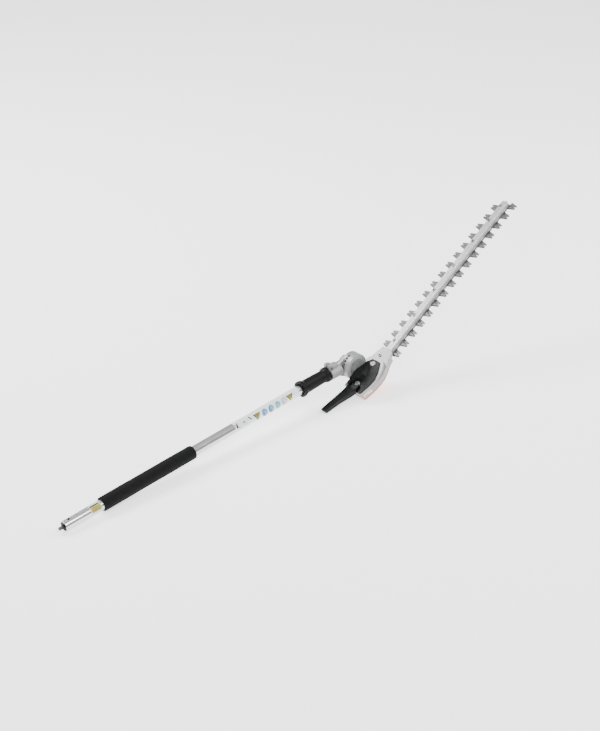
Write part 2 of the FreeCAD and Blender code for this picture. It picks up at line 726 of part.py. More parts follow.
def make_knuckle_fittings():
    """Bearing, bushes, side cover with its screws, and the ring that holds the head on its boss."""
    pivot = S["pivot_place"]
    tube_piece("shaft_bearing", POLE, BEARING_START, BEARING_START + BEARING_WIDTH,
               S["shaft_radius"] + S["running_gap"], BEARING_RADIUS)
    for label, start, end in (("transfer_bush_right", -S["split_right"], -GEAR_ROOM_RIGHT),
                              ("transfer_bush_left", GEAR_ROOM_LEFT, S["knuckle_left"])):
        body = new_body(label, POLE)
        pad(body, "XZ_Plane", (start, end), circle((pivot, 0), TRANSFER_BUSH_RADIUS),
            circle((pivot, 0), TRANSFER_RADIUS + S["running_gap"]))

    cover = new_body("knuckle_cover", POLE)
    outside = S["knuckle_left"] + KNUCKLE_COVER_THICKNESS
    pad(cover, "XZ_Plane", (S["knuckle_left"], outside), circle((pivot, 0), KNUCKLE_BOSS_RADIUS))
    screws = []
    for x, z in KNUCKLE_SCREWS:
        pocket(cover, "XZ_Plane", (S["knuckle_left"], outside),
               circle((pivot + x, z), KNUCKLE_SCREW_RADIUS))
        place = Vector(pivot.number + x, 0, z)
        face = outside.number
        shank = rod(KNUCKLE_SCREW_RADIUS, S["knuckle_left"].number - KNUCKLE_SCREW_DEPTH, face, Y, place)
        screws.append(shank.fuse(rod(KNUCKLE_SCREW_HEAD, face, face + 1.6, Y, place)))
    solid_group("knuckle_screws", POLE, screws)

    ring = new_body("pivot_ring", POLE)
    boss_end = -S["split_right"] - BOSS_REACH
    pad(ring, "XZ_Plane", (boss_end - 1.4, boss_end), circle((pivot, 0), BOSS_RADIUS + 1.6),
        circle((pivot, 0), BOSS_BORE + 0.2))


# ---------------------------------------------------------------- head: housings and covers

BOX_RIM = 22.9
BOX_CORNER = 2.0
BOX_OUTLINE = ((-51, -BOX_RIM), (36, -BOX_RIM), (60, -28), ("neck_end", -31),
               ("neck_end", -74), (60, -78), (42, -85.5), (22, -91.5), (4, -92.5), (-22, -89.5), (-51, -82.5))
BOX_UPPER_OUTLINE = ((-51, -BOX_RIM), (36, -BOX_RIM), (53, -33.4), (53, -73.6), (42, -82), (22, -88.5),
                     (3, -91), (-22, -89), (-51, -82))
# The neck's roof runs out over the root of the guide bar.
NECK_ROOF = ((68, -30), (92, -35.5), (92, -66), (84, -73), (68, -75))
NECK_ROOF_END = 92.0
ROOM_OUTLINE = ((-46.5, -36), (-39, -26.9), (34, -26.9), (46.5, -34), (46.5, -74), (34, -79.5),
                (16, -83.8), (-12, -84.2), (-46.5, -77.5))
ROOM_TOP = -22.8
DRUM_BORE = 15.0
PINION_ROOM_RADIUS = 7.2
CAP_RADIUS = 22.5
CAP_THICKNESS = 2.0
CAP_BOSS_CENTRE = (11.5, 0)
CAP_BOSS_RADIUS = 10.5
CAP_SCREW_ANGLES = (100, 160, 220)
LOCK_HOLE_DEPTH = 7.0
LOCK_HOLE_COUNT = 12
STEEPEST_NOTCHES = 7


def box_outline():
    return [(S[x] if isinstance(x, str) else x, y) for x, y in BOX_OUTLINE]


def cover_plane():
    return -(S["cover_top"] + S["cover_thickness"])


def make_head_housing():
    """One casting: the drum on the fold pivot and the gearbox below and beside it."""
    right = -S["drum_right"]
    left = -(S["split_right"] + S["split_gap"])
    floor = -S["box_floor"]
    bar = -S["bar_side"]
    body = new_body("head_housing", HEAD)
    pad(body, "XY_Plane", (floor, -S["neck_top"]), rounded(BOX_CORNER, *box_outline()))
    pad(body, "XY_Plane", (-S["neck_top"], cover_plane()), rounded(BOX_CORNER, *BOX_UPPER_OUTLINE))
    pad(body, "XY_Plane", (-S["bar_bottom"] + S["flange_thickness"], -S["neck_top"]),
        rounded(BOX_CORNER, *NECK_ROOF))
    pad(body, "XZ_Plane", (right, left), circle((0, 0), S["knuckle_radius"]))
    # gear room, open to the bottom plate
    pocket(body, "XY_Plane", (floor, ROOM_TOP), polygon(*ROOM_OUTLINE))
    # running bore on the pole's boss, then a wider room for the bevel pair, closed by the cap
    boss_end = left - BOSS_REACH + S["split_gap"]
    pocket(body, "XZ_Plane", (right, left), circle((0, 0), BOSS_RADIUS + S["running_gap"]))
    pocket(body, "XZ_Plane", (right, boss_end), circle((0, 0), DRUM_BORE))
    pocket(body, "XZ_Plane", (right, right + CAP_THICKNESS), circle((0, 0), CAP_RADIUS))
    # upright bore for the pinion's bush, and the room for its spur teeth
    pocket(body, "XY_Plane", (SPUR_TOP, -5), circle((0, -S["pinion_side"]), TRANSFER_BUSH_RADIUS))
    pocket(body, "XY_Plane", (SPUR_BOTTOM - 1, SPUR_TOP + 0.8),
           circle((0, -S["pinion_side"]), PINION_ROOM_RADIUS))
    # crank bush, bar seat, blade passage
    pocket(body, "XY_Plane", (ROOM_TOP, cover_plane()), circle((0, bar), CRANK_BUSH_RADIUS))
    seat = S["bar_half_width"]
    pocket(body, "YZ_Plane", (S["bar_start"], NECK_ROOF_END + 1),
           rectangle((bar - seat, -S["bar_bottom"]), (bar + seat, -S["bar_bottom"] + BAR_SEAT_HEIGHT)))
    passage = S["blade_half_width"] + 0.6
    pocket(body, "YZ_Plane", (0, S["neck_end"] + 1),
           rectangle((bar - passage, floor - 1), (bar + passage, -S["bar_bottom"])))
    pocket(body, "XY_Plane", (-S["bar_bottom"], -S["neck_top"]),
           circle((NECK_SCREW_PLACE, -S["bar_screw_side"]), S["bar_screw_radius"]))
    for x, y in COVER_SCREWS:
        pocket(body, "XY_Plane", (cover_plane() - 3.5, cover_plane()), circle((x, y), 2.0))
    for x, y in PLATE_SCREWS:
        pocket(body, "XY_Plane", (floor, floor + 10), circle((x, y), 1.5))
    # locking holes round the drum's rim, one for each fold position
    hole = lock_holes(body)
    body.Tip = hole


def lock_holes(body):
    """Blind holes into the drum's rim, a notch angle apart, for the lock pin."""
    rim = S["knuckle_radius"].number
    radius = S["lock_pin_radius"].number + 0.3
    before = body.Shape.Volume
    last = body.Tip
    for number in range(LOCK_HOLE_COUNT):
        fold = (STEEPEST_NOTCHES - number) * S["notch_angle"].number
        hole = body.newObject("PartDesign::SubtractiveCylinder", "lock_hole")
        hole.Radius = radius
        hole.Height = LOCK_HOLE_DEPTH + 2
        angle = math.radians(180 - fold)
        inward = Vector(-math.cos(angle), 0, -math.sin(angle))
        start = Vector(0, -S["lock_pin_side"].number, 0) - inward * (rim + 2)
        hole.Placement = Placement(start, Rotation(Z, inward))
        last = hole
    doc.recompute()
    if body.Shape.Volume > before - 1:
        raise ValueError("the locking holes cut nothing")
    return last


CRANK_BUSH_RADIUS = 8.0
BAR_SEAT_HEIGHT = 9.8
NECK_SCREW_PLACE = 66.0
COVER_SCREWS = ((33.0, -55.0), (-33.0, -55.0))
PLATE_SCREWS = ((-48.7, -56.0), (55.0, -74.0), (51.0, -33.0), (-20.0, -24.9), (-20.0, -86.6))


def make_head_cap():
    right = -S["drum_right"]
    cap = new_body("drum_cap", HEAD)
    pad(cap, "XZ_Plane", (right, right + CAP_THICKNESS), circle((0, 0), CAP_RADIUS - 0.1))
    pad(cap, "XZ_Plane", (right - 1.6, right), circle(CAP_BOSS_CENTRE, CAP_BOSS_RADIUS))
    screws = []
    for angle in CAP_SCREW_ANGLES:
        place = Vector(19 * math.cos(math.radians(angle)), right.number, 19 * math.sin(math.radians(angle)))
        screws.append(rod(2.6, -1.4, 0, Y, place))
    solid_group("cap_screws", HEAD, screws)


COVER_OUTLINE = ((45, -44.5), (45, -69.5), (19, -83), (-3, -88.8), (-27, -88.2), (-50, -82), (-54, -79),
                 (-54, -38), (-42, -27.5), (-34, -24.9), (-32.5, -34.8), (33, -34.8))
# The cover's raised roof beside the drum: (place along the bar, ridge height, right foot).
ROOF_SECTIONS = ((34, -15.6, -43), (29, -14.3, -46), (20, -11.5, -54), (11, -8, -60), (-5, -2.6, -64),
                 (-16, -1.0, -58), (-24, -1.2, -47), (-35, -5, -46), (-46, -12, -39.5))
ROOF_LEFT = -34.8
ROOF_RIDGE = -38.0
COVER_HEAD_RADIUS = 7.4
COVER_HEAD_HEIGHT = 2.4
COVER_SHANK_RADIUS = 2.0
HANDLE_SIDE = -52.0
HANDLE_TOP_NARROWING = 0.85
# The lever's sections: place along the bar, underside, top, half width.
HANDLE_SECTIONS = ((-51.2, -23.0, -8.5, 16.0), (-70.0, -17.5, -3.5, 14.5), (-105.0, -3.0, 10.0, 10.5),
                   (-148.0, 13.2, 24.2, 8.5))
FOOT_LOW = (-54, -67)
FOOT_HIGH = (-35.5, -47.4)
FOOT_HEIGHT = 7.5


def loft(sections):
    """A solid through closed polygons, with straight sides between them."""
    rings = [Part.makePolygon([Vector(*point) for point in points + points[:1]]) for points in sections]
    return Part.makeLoft(rings, True, True)


def make_cover_and_handle():
    """The moulded gearbox cover, and the fixed lever by which the head is swung."""
    top = -S["cover_top"].number
    low = cover_plane().number
    base = Part.Face(Part.makePolygon([Vector(x, y, low) for x, y in COVER_OUTLINE + COVER_OUTLINE[:1]]))
    plate = base.extrude(Z * (top - low))
    upright = [edge for edge in plate.Edges if abs(edge.BoundBox.ZLength - (top - low)) < 0.01]
    plate = plate.makeFillet(1.6, upright)
    roof = loft([[(x, ROOF_LEFT, top - 0.5), (x, ROOF_LEFT, ridge), (x, ROOF_RIDGE, ridge),
                  (x, (ROOF_RIDGE + foot) / 2, ridge + (top - ridge) * 0.3), (x, foot, top - 0.5)]
                 for x, ridge, foot in ROOF_SECTIONS])
    cover = plate.fuse(roof)
    screws = []
    for x, y in COVER_SCREWS:
        centre = Vector(x, y, 0)
        shank = rod(COVER_SHANK_RADIUS, top - 6, top, Z, centre)
        cover = cover.cut(shank)
        screws.append(shank.fuse(rod(COVER_HEAD_RADIUS, top, top + COVER_HEAD_HEIGHT, Z, centre)))
    solid_group("gearbox_cover", HEAD, [cover.removeSplitter()])
    solid_group("cover_screws", HEAD, screws)

    lever = loft([[(x, HANDLE_SIDE - half, under), (x, HANDLE_SIDE + half, under),
                   (x, HANDLE_SIDE + half * HANDLE_TOP_NARROWING, crest),
                   (x, HANDLE_SIDE - half * HANDLE_TOP_NARROWING, crest)]
                  for x, under, crest, half in HANDLE_SECTIONS])
    lever = lever.cut(box((FOOT_LOW[0] - 0.01, -100, low - 0.01), (0, 0, top)))
    lever = lever.cut(box((FOOT_LOW[0], -100, low - 40), (0, 0, top)))
    foot = box((*FOOT_LOW, top), (*FOOT_HIGH, top + FOOT_HEIGHT))
    screw_x, screw_y = COVER_SCREWS[1]
    foot = foot.cut(rod(COVER_HEAD_RADIUS + 0.5, top, top + FOOT_HEIGHT, Z, Vector(screw_x, screw_y, 0)))
    solid_group("swing_lever", HEAD, [lever.fuse(foot)])


def make_bottom_plate():
    floor = -S["box_floor"]
    low = floor - S["plate_thickness"]
    plate = new_body("bottom_plate", HEAD)
    pad(plate, "XY_Plane", (low, floor), rounded(BOX_CORNER, *box_outline()))
    pocket(plate, "XY_Plane", (low, floor), circle((0, -S["bar_side"]), CRANK_BUSH_RADIUS))
    for x, y in PLATE_SCREWS:
        pocket(plate, "XY_Plane", (low, floor), circle((x, y), 1.5))
    screws = [rod(1.5, low.number, floor.number + 10, Z, Vector(x, y, 0)) for x, y in PLATE_SCREWS]
    solid_group("plate_screws", HEAD, screws)


def make_bushes():
    bar = -S["bar_side"]
    bore = CRANK_SHAFT_RADIUS + S["running_gap"]
    for label, start, end in (("crank_bush_top", ROOM_TOP, cover_plane()),
                              ("crank_bush_bottom", -S["box_floor"] - S["plate_thickness"],
                               -S["box_floor"])):
        body = new_body(label, HEAD)
        pad(body, "XY_Plane", (start, end), circle((0, bar), CRANK_BUSH_RADIUS), circle((0, bar), bore))
    body = new_body("pinion_bush", HEAD)
    pad(body, "XY_Plane", (SPUR_TOP + 0.9, -HEAD_MITRE_BACK - 6.6),
        circle((0, -S["pinion_side"]), TRANSFER_BUSH_RADIUS),
        circle((0, -S["pinion_side"]), TRANSFER_RADIUS + S["running_gap"]))


# ---------------------------------------------------------------- guide bar and blades

SCREW_PLACES = [123.0 + 86.0 * number for number in range(5)] + [541.0, 593.0]
SCREW_HEAD_RADIUS = 4.6
SCREW_HEAD_HEIGHT = 2.6


def make_guide_bar():
    """An extruded bar: a flat flange on the left for the screws, a hollow round ridge on the right."""
    bar = -S["bar_side"]
    left, right = bar + S["bar_half_width"], bar - S["bar_half_width"]
    bottom = -S["bar_bottom"]
    flange = bottom + S["flange_thickness"]
    top = bottom + S["ridge_height"]
    wall = S["bar_wall"]
    body = new_body("guide_bar", HEAD)
    pad(body, "YZ_Plane", (S["bar_start"], S["bar_tip"]),
        polygon((left, bottom), (left, flange), (bar + 2.4, flange), (bar + 0.6, top - 1.6),
                (bar - 1.4, top), (bar - 7.6, top), (bar - 10, top - 1.6), (right, flange),
                (right, bottom)),
        polygon((bar + 0.6, bottom + wall), (bar - 0.8, top - wall - 1.0), (bar - 2.2, top - wall),
                (bar - 6.8, top - wall), (bar - 8.6, top - wall - 1.2), (right + 1.6, flange - 1.0),
                (right + 1.6, bottom + wall)))
    tip = S["bar_tip"]
    # the nose is rounded off on the right
    pocket(body, "XY_Plane", (bottom - 1, top + 1),
           polygon((tip - 9, right - 1), (tip - 7, right), (tip - 2.4, right + 4), (tip, right + 10),
                   (tip + 1, right + 10), (tip + 1, right - 1)))
    side_line = -S["bar_screw_side"]
    for place in [NECK_SCREW_PLACE] + SCREW_PLACES:
        pocket(body, "XY_Plane", (bottom, flange), circle((place, side_line), S["bar_screw_radius"]))


def make_bar_screws():
    """Shoulder screws through the bar and the blades' slots, each with a washer and a nut below."""
    radius = S["bar_screw_radius"].number
    flange = S["flange_thickness"].number - S["bar_bottom"].number
    blades_low = -S["bar_bottom"].number - 2 * (S["blade_thickness"].number + S["blade_gap"].number)
    washer_top = blades_low - 0.2
    screws, washers, nuts = [], [], []
    for place in SCREW_PLACES:
        spot = Vector(place, -S["bar_screw_side"].number, 0)
        shank = rod(radius, washer_top - 6, flange, Z, spot)
        screws.append(shank.fuse(rod(SCREW_HEAD_RADIUS, flange, flange + SCREW_HEAD_HEIGHT, Z, spot)))
        ring = rod(5.5, washer_top - 1, washer_top, Z, spot)
        washers.append(ring.cut(rod(radius, washer_top - 2, washer_top + 1, Z, spot)))
        nut = hexagon(4.6, 4.0).cut(rod(radius, -1, 5, Z))
        nut.translate(spot + Z * (washer_top - 5))
        nuts.append(nut)
    solid_group("bar_screws", HEAD, screws)
    solid_group("bar_washers", HEAD, washers)
    solid_group("bar_nuts", HEAD, nuts)
    neck = -S["neck_top"].number
    spot = Vector(NECK_SCREW_PLACE, -S["bar_screw_side"].number, 0)
    bolt = rod(radius, -S["bar_bottom"].number, neck, Z, spot)
    solid_group("neck_screw", HEAD, [bolt.fuse(rod(SCREW_HEAD_RADIUS, neck, neck + 3, Z, spot))])


RIGHT_TEETH = 16
LEFT_TEETH = 15
FIRST_RIGHT_TOOTH = 95.25
FIRST_LEFT_TOOTH = 109.25
YOKE_REACH = 33.0
YOKE_HALF_WIDTH = 20.0


def make_blade(label, level, shift):
    """A double-sided blade: a yoke round the crank, a slotted strip, and teeth along both sides.

    Places along it are counted from mid-stroke, and the shift moves it to its place at rest.
    """
    bar = -S["bar_side"]
    top = -S["bar_bottom"] - S["blade_gap"] - (S["blade_thickness"] + S["blade_gap"]) * level
    span = (top - S["blade_thickness"], top)
    left, right = bar + S["blade_half_width"], bar - S["blade_half_width"]
    tip = S["blade_tip"]
    frame = HEAD * Placement(Vector(shift, 0, 0), Rotation())
    body = new_body(label, frame)
    pad(body, "XY_Plane", span,
        polygon((-YOKE_REACH + 5, bar - YOKE_HALF_WIDTH), (YOKE_REACH - 4, bar - YOKE_HALF_WIDTH),
                (YOKE_REACH + 4.5, right), (tip - 5, right), (tip, right + 6), (tip, left - 3),
                (tip - 3, left), (YOKE_REACH + 4.5, left), (YOKE_REACH - 4, bar + YOKE_HALF_WIDTH),
                (-YOKE_REACH + 5, bar + YOKE_HALF_WIDTH), (-YOKE_REACH, bar + YOKE_HALF_WIDTH - 5),
                (-YOKE_REACH, bar - YOKE_HALF_WIDTH + 5)))
    base, end, length = S["tooth_base"] / 2, S["tooth_end"] / 2, S["tooth_length"]
    pitch = S["tooth_pitch"]
    for first, count, edge, direction in ((FIRST_RIGHT_TOOTH, RIGHT_TEETH, right, -1),
                                          (FIRST_LEFT_TOOTH, LEFT_TEETH, left, 1)):
        inner = edge - 1.0 * direction
        outer = edge + length * direction
        shoulder = edge + (length - 1.5) * direction
        tooth = pad(body, "XY_Plane", span,
                    polygon((first - base, inner), (first - base, edge), (first - end, shoulder),
                            (first - end + 1.5, outer), (first + end - 1.5, outer),
                            (first + end, shoulder), (first + base, edge), (first + base, inner)))
        pattern(body, tooth, "X_Axis", pitch * (count - 1), count)
    reach = S["crank_throw"] + S["crank_lobe_radius"] + 0.4
    pocket(body, "XY_Plane", span, slot((0, bar), S["stroke"] / 2, reach))
    slot_radius = S["bar_screw_radius"] + 0.3
    for place in SCREW_PLACES:
        pocket(body, "XY_Plane", span, slot((place, -S["bar_screw_side"]), S["stroke"] / 2, slot_radius))


# ---------------------------------------------------------------- the whole

def main():
    make_drive_tube()
    make_drive_shaft()
    make_liner_bushes()
    make_grip_and_labels()
    make_lock_sleeve()
    make_lock_pin()
    make_return_spring()
    top_wheel, apex = make_mitre_pairs()
    make_transfer_shaft()
    make_head_pinion(top_wheel, apex)
    make_crank()
    make_clamp_housing()
    make_clamp_screw()
    make_knuckle_fittings()
    make_head_housing()
    make_head_cap()
    make_cover_and_handle()
    make_bottom_plate()
    make_bushes()
    make_guide_bar()
    make_bar_screws()
    make_blade("upper_blade", 0, -S["rest_shift"].number)
    make_blade("lower_blade", 1, S["rest_shift"].number)
    doc.recompute()
    for item in doc.Objects:
        if {"Invalid", "Error"} & set(item.State):
            raise ValueError(f"{item.Label} failed: {item.State}")
    os.makedirs("parts", exist_ok=True)
    for item in nodes:
        if item.Shape.isNull() or not item.Shape.isValid():
            raise ValueError(f"{item.Label} has no valid shape")
        item.Shape.exportStep(f"parts/{item.Label}.step")
        print(f"{item.Label:24s} {len(item.Shape.Solids)} solids, {item.Shape.Volume / 1000:9.2f} cm3")


main()
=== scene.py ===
"""Looks of a hedge trimmer attachment: finishes, castings, ground blades, foam grip and labels.

Lengths are in millimetres in the pole's and the head's own frames, and become metres in the row frame.
"""
import json
import math

import bmesh
import bpy
from mathutils import Matrix, Vector


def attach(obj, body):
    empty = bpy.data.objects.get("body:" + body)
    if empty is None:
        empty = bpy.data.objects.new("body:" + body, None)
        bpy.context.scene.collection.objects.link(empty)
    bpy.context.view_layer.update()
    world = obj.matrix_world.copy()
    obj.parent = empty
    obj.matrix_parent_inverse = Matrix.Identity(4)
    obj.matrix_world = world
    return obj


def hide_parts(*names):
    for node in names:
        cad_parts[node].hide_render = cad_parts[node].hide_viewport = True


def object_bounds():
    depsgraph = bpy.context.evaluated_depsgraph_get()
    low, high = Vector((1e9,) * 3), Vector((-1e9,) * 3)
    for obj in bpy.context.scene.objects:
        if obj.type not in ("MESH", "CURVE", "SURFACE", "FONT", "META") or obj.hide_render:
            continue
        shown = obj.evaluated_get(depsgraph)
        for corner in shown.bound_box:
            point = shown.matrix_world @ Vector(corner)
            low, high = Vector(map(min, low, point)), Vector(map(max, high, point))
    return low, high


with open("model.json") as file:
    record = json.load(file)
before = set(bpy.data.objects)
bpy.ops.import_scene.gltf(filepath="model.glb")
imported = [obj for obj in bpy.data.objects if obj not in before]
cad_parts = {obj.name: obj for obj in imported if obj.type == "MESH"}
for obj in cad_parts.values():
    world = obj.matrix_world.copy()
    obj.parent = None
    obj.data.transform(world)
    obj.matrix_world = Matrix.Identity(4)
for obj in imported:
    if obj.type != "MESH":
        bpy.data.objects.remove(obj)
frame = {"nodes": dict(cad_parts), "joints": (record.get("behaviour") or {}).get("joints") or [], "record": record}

CAD_BOX = [list(corner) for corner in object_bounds()]
MM = 0.001
JOINTS = {joint["name"]: joint for joint in frame["joints"]}


def frame_matrix(along, origin):
    """A frame whose x runs along a direction in the XZ plane, with y to the left, in millimetres."""
    x = Vector(along).normalized()
    y = Vector((0, 1, 0))
    z = x.cross(y)
    turn = Matrix((x, y, z)).transposed().to_4x4()
    return Matrix.Translation(Vector(origin)) @ turn @ Matrix.Scale(MM, 4)


POLE = frame_matrix(JOINTS["shaft_spin"]["axis"], (0, 0, 0))
HEAD = frame_matrix(JOINTS["upper_blade_slide"]["axis"], JOINTS["fold"]["pos_m"])
TUBE_RADIUS = 12.7
FLOOR_HEIGHT = CAD_BOX[0][2]


# ---------------------------------------------------------------- materials

class Finish:
    """A node material around one Principled shader, with short helpers for its textures."""

    def __init__(self, name, color, roughness, metallic=0.0):
        self.material = bpy.data.materials.new(name)
        self.material.use_nodes = True
        self.tree = self.material.node_tree
        self.shader = self.tree.nodes["Principled BSDF"]
        self.shader.inputs["Base Color"].default_value = (*color, 1)
        self.shader.inputs["Roughness"].default_value = roughness
        self.shader.inputs["Metallic"].default_value = metallic
        self.color = color
        self.roughness = roughness
        self.normal = None

    def node(self, kind, **settings):
        node = self.tree.nodes.new(kind)
        for name, value in settings.items():
            setattr(node, name, value)
        return node

    def link(self, source, target):
        self.tree.links.new(source, target)

    def coordinates(self, along=None, stretch=(1, 1, 1)):
        """Object coordinates, turned so that x runs along a direction, then stretched."""
        source = self.node("ShaderNodeTexCoord").outputs["Object"]
        if along is None and stretch == (1, 1, 1):
            return source
        mapping = self.node("ShaderNodeMapping")
        if along is not None:
            mapping.inputs["Rotation"].default_value = (0, math.atan2(along[2], along[0]), 0)
        mapping.inputs["Scale"].default_value = stretch
        self.link(source, mapping.inputs["Vector"])
        return mapping.outputs["Vector"]

    def noise(self, coordinates, scale, detail=3.0, roughness=0.55):
        node = self.node("ShaderNodeTexNoise")
        node.inputs["Scale"].default_value = scale
        node.inputs["Detail"].default_value = detail
        node.inputs["Roughness"].default_value = roughness
        self.link(coordinates, node.inputs["Vector"])
        return node.outputs["Fac"]

    def cells(self, coordinates, scale):
        node = self.node("ShaderNodeTexVoronoi")
        node.inputs["Scale"].default_value = scale
        self.link(coordinates, node.inputs["Vector"])
        return node.outputs["Distance"]

    def span(self, value, low, high, start=0.3, end=0.7):
        """Spread a texture's middle range over a range of values."""
        node = self.node("ShaderNodeMapRange")
        node.inputs["From Min"].default_value = start
        node.inputs["From Max"].default_value = end
        node.inputs["To Min"].default_value = low
        node.inputs["To Max"].default_value = high
        self.link(value, node.inputs["Value"])
        return node.outputs["Result"]

    def shade(self, value, darker, lighter, start=0.3, end=0.7):
        """Vary the colour between two multiples of itself."""
        ramp = self.node("ShaderNodeValToRGB")
        for element, place, factor in zip(ramp.color_ramp.elements, (start, end), (darker, lighter)):
            element.position = place
            element.color = (*(min(1.0, channel * factor) for channel in self.color), 1)
        self.link(value, ramp.inputs["Fac"])
        self.link(ramp.outputs["Color"], self.shader.inputs["Base Color"])

    def rough(self, value, spread, start=0.3, end=0.7):
        self.link(self.span(value, self.roughness - spread, self.roughness + spread, start, end),
                  self.shader.inputs["Roughness"])

    def bump(self, value, depth, strength=1.0):
        """Raise the surface by a texture, by a depth in millimetres."""
        node = self.node("ShaderNodeBump")
        node.inputs["Distance"].default_value = depth * MM
        node.inputs["Strength"].default_value = strength
        self.link(value, node.inputs["Height"])
        if self.normal is not None:
            self.link(self.normal, node.inputs["Normal"])
        self.normal = node.outputs["Normal"]
        self.link(self.normal, self.shader.inputs["Normal"])

    def soft_edges(self, radius):
        """Round sharp edges in the shading, by a radius in millimetres."""
        node = self.node("ShaderNodeBevel", samples=6)
        node.inputs["Radius"].default_value = radius * MM
        self.normal = node.outputs["Normal"]
        self.link(self.normal, self.shader.inputs["Normal"])


def drawn_metal(name, color, roughness, along, lines=1400.0, soft=0.25, metallic=1.0):
    """Extruded or drawn metal: fine lines along a direction, and faint smears."""
    finish = Finish(name, color, roughness, metallic)
    finish.soft_edges(soft)
    fine = finish.noise(finish.coordinates(along, (0.012, 1, 1)), lines, detail=2)
    smears = finish.noise(finish.coordinates(along, (0.25, 1, 1)), 42, detail=4)
    finish.shade(smears, 0.90, 1.06)
    finish.rough(fine, 0.07)
    finish.bump(fine, 0.012)
    return finish.material


def cast_metal(name, color, roughness):
    """Bead-blasted die casting: fine grain, a little cloudiness and rounded edges."""
    finish = Finish(name, color, roughness, metallic=0.4)
    finish.soft_edges(0.5)
    place = finish.coordinates()
    clouds = finish.noise(place, 60, detail=5)
    finish.shade(clouds, 0.90, 1.05)
    finish.rough(finish.noise(place, 420, detail=2), 0.06)
    finish.bump(finish.noise(place, 1900, detail=3), 0.10, 0.55)
    finish.bump(finish.noise(place, 210, detail=3), 0.15, 0.25)
    return finish.material


def moulded_plastic(name, color, roughness, grain=0.06, gloss=0.16):
    """Moulded plastic with a spark-eroded grain and faint scuffs."""
    finish = Finish(name, color, roughness)
    finish.shader.inputs["Specular IOR Level"].default_value = gloss
    finish.soft_edges(0.6)
    place = finish.coordinates()
    scuffs = finish.noise(finish.coordinates((0.8, 0, 0.6), (0.2, 1, 1)), 120, detail=5)
    finish.shade(scuffs, 0.80, 1.35)
    finish.rough(scuffs, 0.07)
    finish.bump(finish.noise(place, 2600, detail=2), grain, 0.6)
    return finish.material


def foam_rubber(name):
    """Closed-skin foam: small open pores between larger soft cells."""
    finish = Finish(name, (0.0055, 0.0058, 0.0056), 0.82)
    finish.shader.inputs["Specular IOR Level"].default_value = 0.12
    finish.shader.inputs["Sheen Weight"].default_value = 0.03
    finish.shader.inputs["Sheen Roughness"].default_value = 0.5
    place = finish.coordinates()
    pores = finish.cells(place, 900)
    finish.shade(finish.noise(place, 500, detail=4), 0.6, 1.7)
    finish.bump(pores, 0.35, 0.5)
    finish.bump(finish.noise(place, 2200, detail=2), 0.12, 0.6)
    return finish.material


def ground_steel(name, color, roughness, along):
    """Hardened strip, surface-ground across its width, a little darker in patches."""
    finish = Finish(name, color, roughness, metallic=0.4)
    finish.soft_edges(0.15)
    marks = finish.noise(finish.coordinates(along, (1, 0.05, 0.3)), 900, detail=2)
    patches = finish.noise(finish.coordinates(), 35, detail=4)
    finish.shade(patches, 0.82, 1.12)
    finish.rough(marks, 0.08)
    finish.bump(marks, 0.015)
    return finish.material


def painted_sheet(name, color, roughness):
    """Painted sheet metal with a light orange-peel surface."""
    finish = Finish(name, color, roughness)
    finish.soft_edges(0.3)
    finish.shader.inputs["Coat Weight"].default_value = 0.25
    finish.shader.inputs["Coat Roughness"].default_value = 0.2
    place = finish.coordinates()
    finish.shade(finish.noise(place, 90, detail=4), 0.88, 1.08)
    finish.bump(finish.noise(place, 700, detail=2), 0.04, 0.4)
    return finish.material


def plated_metal(name, color, roughness):
    """Zinc-plated or plain turned steel."""
    finish = Finish(name, color, roughness, metallic=0.6)
    finish.soft_edges(0.2)
    place = finish.coordinates()
    finish.shade(finish.noise(place, 260, detail=4), 0.82, 1.06)
    finish.rough(finish.noise(place, 900, detail=2), 0.08)
    return finish.material


def printed_film(name, color, roughness=0.32):
    """Printed label film: smooth, faintly uneven ink under a clear coat."""
    finish = Finish(name, color, roughness)
    finish.shader.inputs["Coat Weight"].default_value = 0.3
    finish.shader.inputs["Coat Roughness"].default_value = 0.15
    place = finish.coordinates()
    finish.shade(finish.noise(place, 320, detail=3), 0.94, 1.03)
    finish.bump(finish.noise(place, 120, detail=2), 0.02, 0.4)
    return finish.material


TUBE_DIRECTION = JOINTS["shaft_spin"]["axis"]
BAR_DIRECTION = JOINTS["upper_blade_slide"]["axis"]

FINISHES = {
    "polished_aluminium": drawn_metal("tube_aluminium", (0.66, 0.66, 0.67), 0.19, TUBE_DIRECTION),
    "bar_aluminium": drawn_metal("extruded_bar", (0.40, 0.40, 0.405), 0.40, BAR_DIRECTION, 1100.0, 0.4, 0.5),
    "cast_aluminium": cast_metal("cast_aluminium_finish", (0.34, 0.34, 0.343), 0.44),
    "cap_grey": cast_metal("cap_grey_finish", (0.21, 0.212, 0.216), 0.46),
    "blade_steel": ground_steel("blade_finish", (0.11, 0.11, 0.113), 0.42, BAR_DIRECTION),
    "shaft_steel": plated_metal("oiled_shaft", (0.05, 0.05, 0.053), 0.38),
    "zinc_steel": plated_metal("zinc_plating", (0.22, 0.222, 0.225), 0.34),
    "spring_steel": plated_metal("spring_wire", (0.40, 0.40, 0.42), 0.32),
    "black_plastic": moulded_plastic("cover_plastic", (0.0048, 0.0056, 0.0054), 0.46),
    "sleeve_plastic": moulded_plastic("sleeve_nylon", (0.0030, 0.0030, 0.0034), 0.50, 0.03),
    "bush_plastic": moulded_plastic("bush_nylon", (0.012, 0.012, 0.012), 0.50),
    "orange_plate": painted_sheet("orange_paint", (0.60, 0.075, 0.010), 0.38),
    "black_foam": foam_rubber("grip_foam"),
    "rear_label_film": printed_film("silver_film", (0.74, 0.74, 0.75), 0.28),
    "side_label_film": printed_film("white_film", (0.90, 0.91, 0.93)),
}

